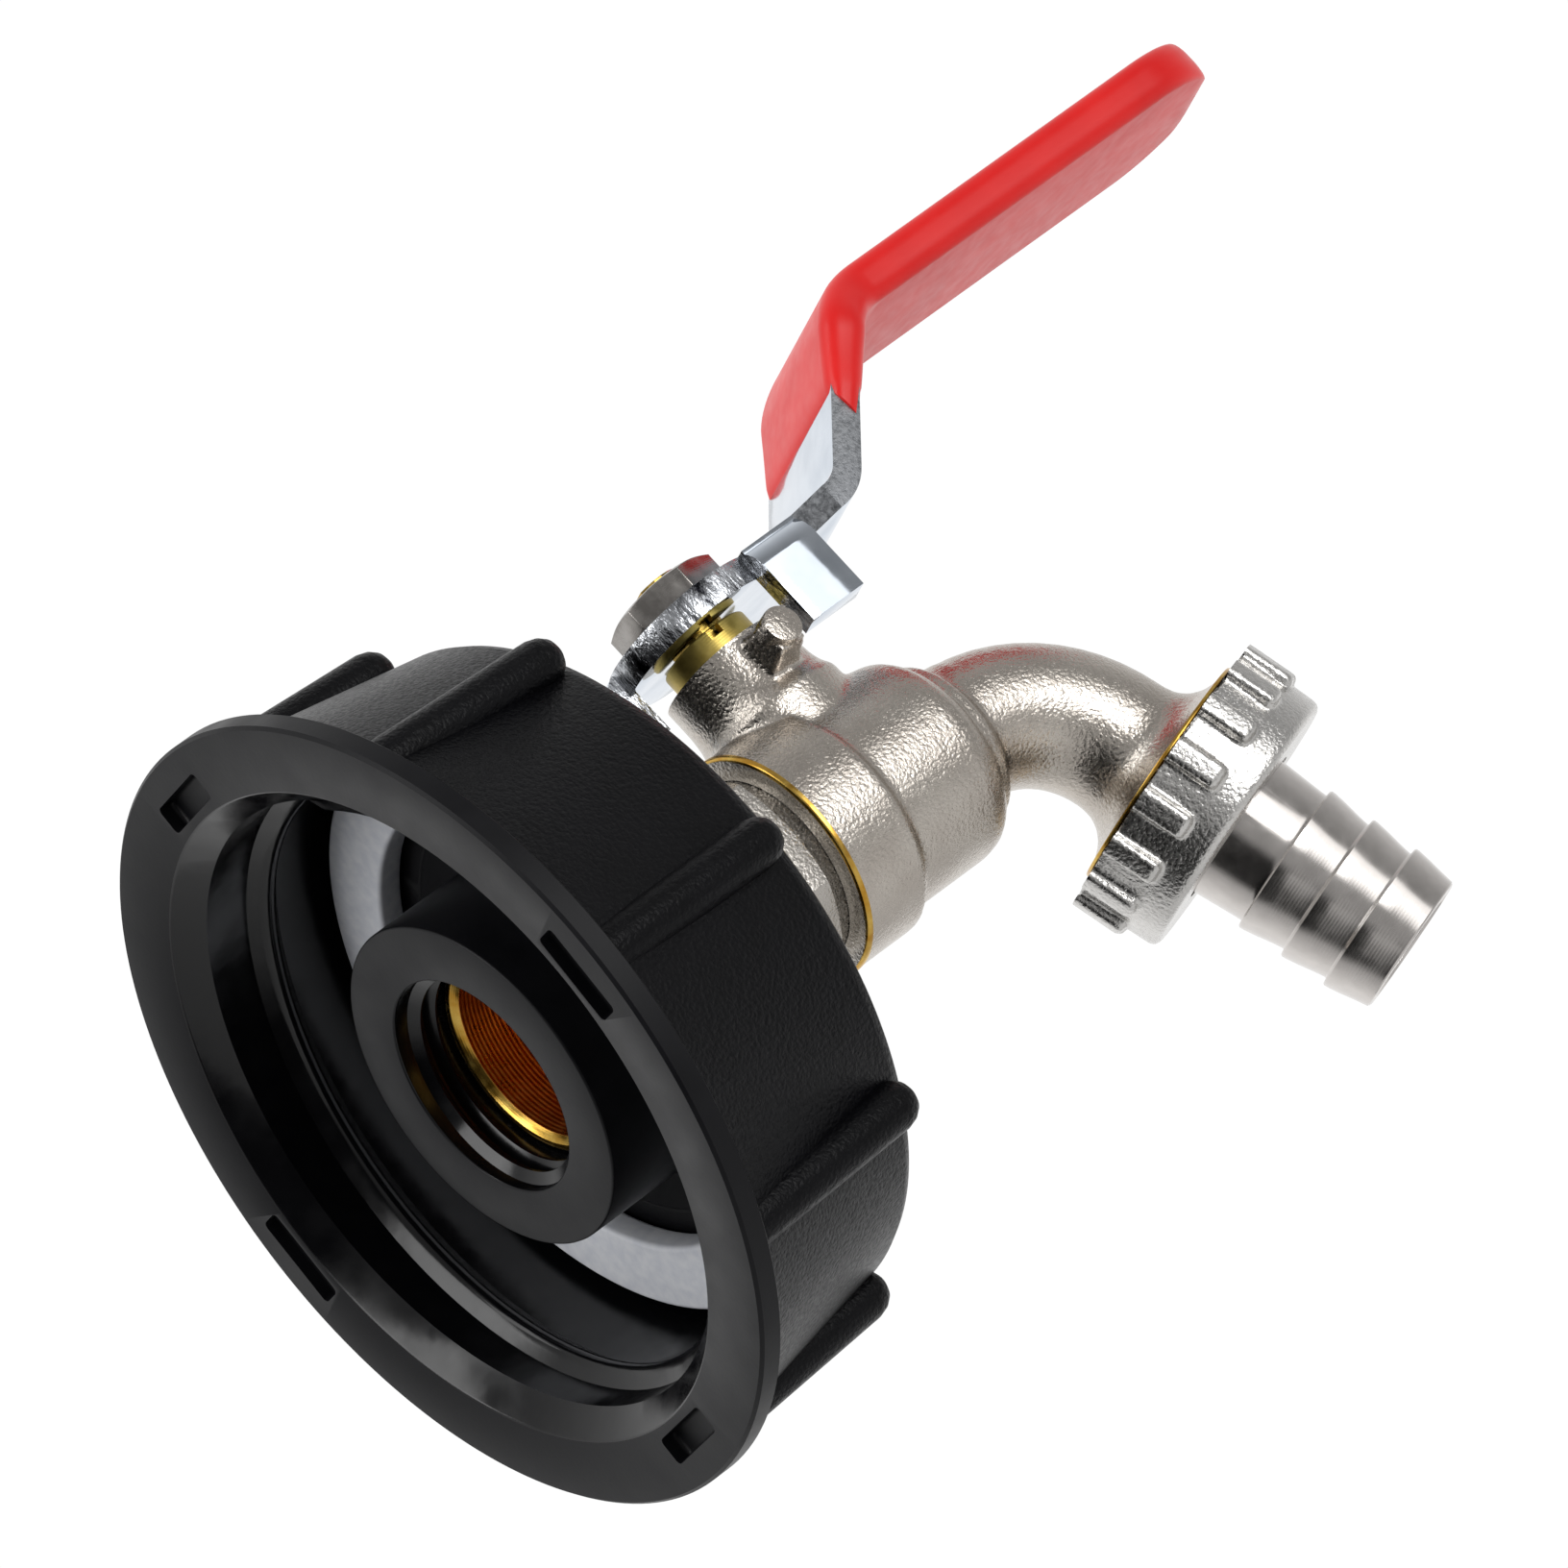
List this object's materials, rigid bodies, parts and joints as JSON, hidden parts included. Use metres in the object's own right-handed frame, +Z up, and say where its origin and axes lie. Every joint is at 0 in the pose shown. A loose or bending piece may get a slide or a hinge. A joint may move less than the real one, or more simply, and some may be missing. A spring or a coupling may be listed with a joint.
{
  "type": "ibc tank valve",
  "caption": "Tank outlet valve with a coarse-thread coupling nut, a quarter-turn lever ball valve, a bent spout and a barbed hose tail under a union nut.",
  "frame": {"origin": "on the coupling nut's axis, in the plane of its front rim, where it meets the tank's outlet", "axes": "+X along the flow, away from the tank, +Z up along the valve stem, +Y to the left of the flow"},
  "size_m": [0.1288, 0.0778, 0.0796],
  "materials": {
    "coupling_nut": "injection moulded, fine grain on the outer wall, satin rim face",
    "spigot": "injection moulded, satin",
    "tank_gasket": "smooth white rubber",
    "inlet_washer": "smooth black rubber",
    "inlet_connector": "nickel plated and bead blasted outside, machined raw brass bore",
    "valve_body": "nickel plated and bead blasted casting, raw brass at the machined ring",
    "seat_inlet": "smooth PTFE",
    "seat_outlet": "smooth PTFE",
    "ball": "polished",
    "stem": "machined",
    "stem_thrust_washer": "smooth PTFE",
    "stem_o_ring": "smooth black rubber",
    "stem_packing": "smooth PTFE",
    "gland_nut": "turned raw brass",
    "lever": "polished faces, rough sheared edges",
    "lever_sleeve": "glossy dipped vinyl",
    "lever_nut": "nickel plated steel",
    "union_nut": "nickel plated and bead blasted",
    "hose_gasket": "smooth black rubber",
    "hose_tail": "polished"
  },
  "bodies": {
    "valve": {"spigot": "spigot", "tank_gasket": "tank_gasket", "inlet_washer": "inlet_washer", "inlet_connector": "inlet_connector", "valve_body": "valve_body", "seat_inlet": "seat_inlet", "seat_outlet": "seat_outlet", "stem_thrust_washer": "stem_thrust_washer", "stem_o_ring": "stem_o_ring", "stem_packing": "stem_packing", "gland_nut": "gland_nut"},
    "coupling": {"coupling_nut": "coupling_nut"},
    "handle": {"lever": "lever", "lever_sleeve": "lever_sleeve", "lever_nut": "lever_nut", "stem": "stem", "ball": "ball"},
    "union": {"union_nut": "union_nut"},
    "tail": {"hose_gasket": "hose_gasket", "hose_tail": "hose_tail"}
  },
  "joints": [
    {"name": "coupling_turn", "type": "hinge", "parent": "valve", "child": "coupling", "pos_m": [0, 0, 0], "axis": [1, 0, 0], "continuous": true},
    {"name": "lever_turn", "type": "hinge", "parent": "valve", "child": "handle", "pos_m": [0.0516, 0, 0], "axis": [0, 0, 1], "range_deg": [0, 90]},
    {"name": "union_turn", "type": "hinge", "parent": "valve", "child": "union", "pos_m": [0.07708, 0, -0.01372], "axis": [0.2588, 0, -0.9659], "continuous": true},
    {"name": "tail_turn", "type": "hinge", "parent": "valve", "child": "tail", "pos_m": [0.07708, 0, -0.01372], "axis": [0.2588, 0, -0.9659], "continuous": true}
  ]
}
